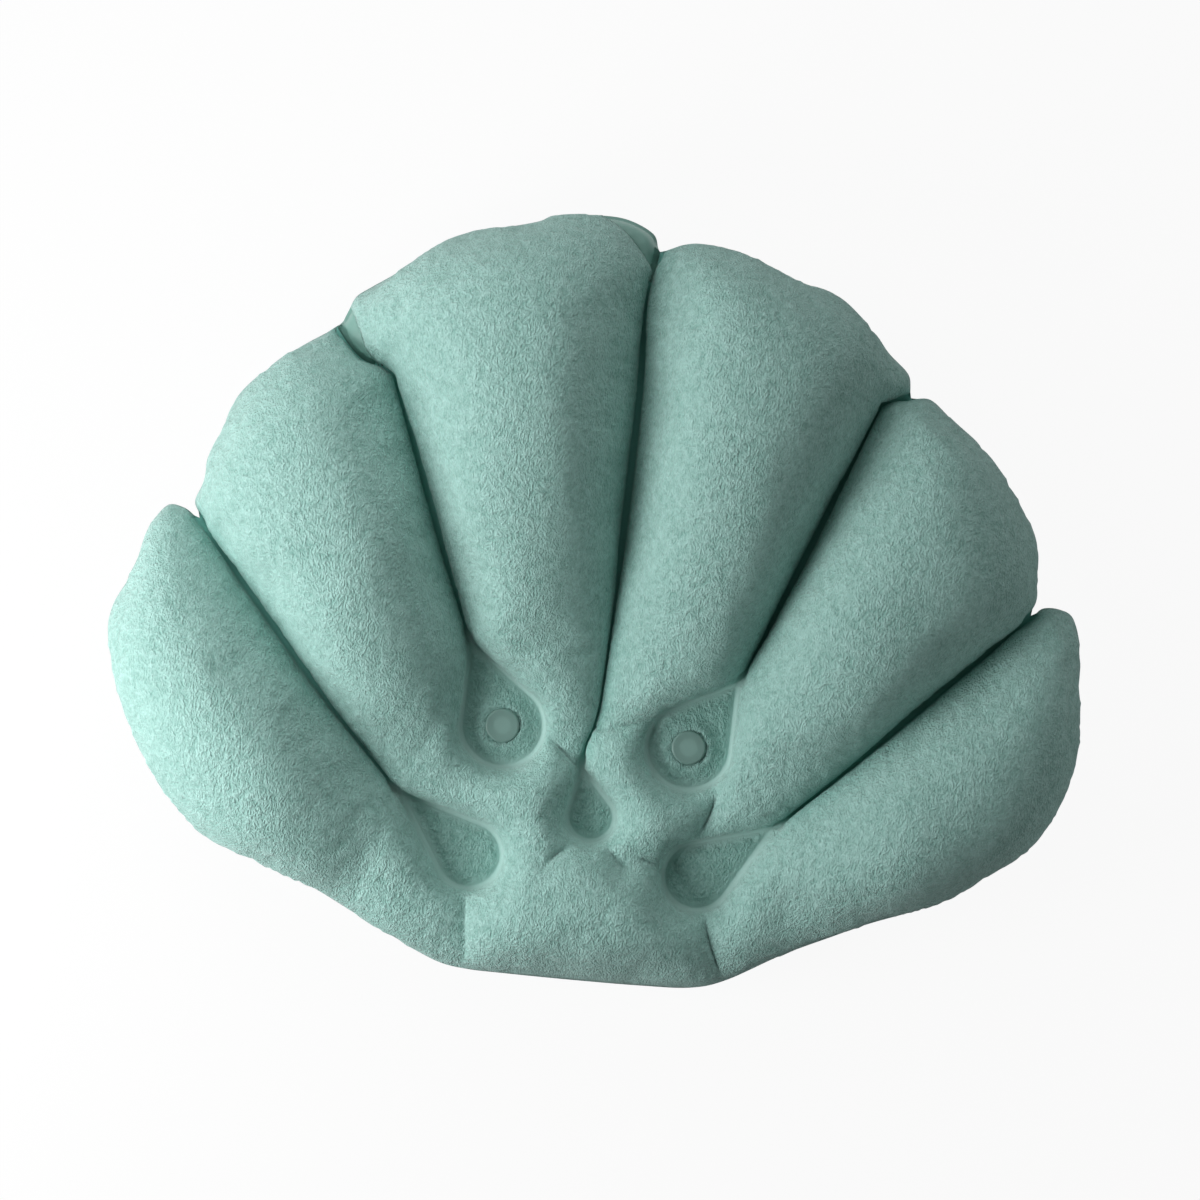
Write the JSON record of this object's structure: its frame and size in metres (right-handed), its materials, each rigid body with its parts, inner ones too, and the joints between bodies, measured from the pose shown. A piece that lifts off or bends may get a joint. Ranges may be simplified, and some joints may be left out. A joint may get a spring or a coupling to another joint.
{
  "type": "inflatable bath pillow",
  "caption": "Scallop-shell inflatable bath pillow: terry face over welded vinyl lobes, suction cups on the back and a push-in inflation valve.",
  "frame": {"origin": "Middle of the outline in plan, on the plane that the suction cups' lips and the lowest backs of the lobes touch.", "axes": "+X across the fan, +Y from the hub's edge to the crest between the two middle lobes, +Z out of the terry face."},
  "size_m": [0.38, 0.288, 0.0768],
  "materials": {
    "terry": "looped terry pile, pressed smooth along the welds",
    "lining_vinyl": "satin film",
    "back_vinyl": "satin film with a fine grain",
    "clear_vinyl": "soft, smooth and slightly clear"
  },
  "bodies": {
    "pillow": {"front_terry_panel": "terry", "front_vinyl_lining": "lining_vinyl", "back_vinyl_panel": "back_vinyl", "valve_base": "clear_vinyl", "valve_diaphragm": "clear_vinyl"},
    "left_cup": {"suction_cup_left": "clear_vinyl"},
    "right_cup": {"suction_cup_right": "clear_vinyl"},
    "neck": {"valve_neck": "clear_vinyl", "stopper_strap": "clear_vinyl"},
    "flap": {"valve_flap": "clear_vinyl"},
    "stopper": {"valve_stopper": "clear_vinyl"}
  },
  "joints": [
    {"name": "left_cup_swivel", "type": "hinge", "parent": "pillow", "child": "left_cup", "pos_m": [-0.0362, -0.05236, 0.0215], "axis": [0, 0, 1], "continuous": true},
    {"name": "right_cup_swivel", "type": "hinge", "parent": "pillow", "child": "right_cup", "pos_m": [0.0362, -0.05236, 0.0215], "axis": [0, 0, 1], "continuous": true},
    {"name": "valve_pop_out", "type": "slide", "parent": "pillow", "child": "neck", "axis": [0, 0, -1], "range_m": [0, 0.015], "deforming": ["valve_diaphragm"]},
    {"name": "flap_lift", "type": "hinge", "parent": "neck", "child": "flap", "pos_m": [0, -0.1137, 0.01578], "axis": [-1, 0, 0], "range_deg": [0, 40]},
    {"name": "stopper_pull", "type": "slide", "parent": "neck", "child": "stopper", "axis": [0, 0, -1], "range_m": [0, 0.006], "deforming": ["stopper_strap"]}
  ]
}
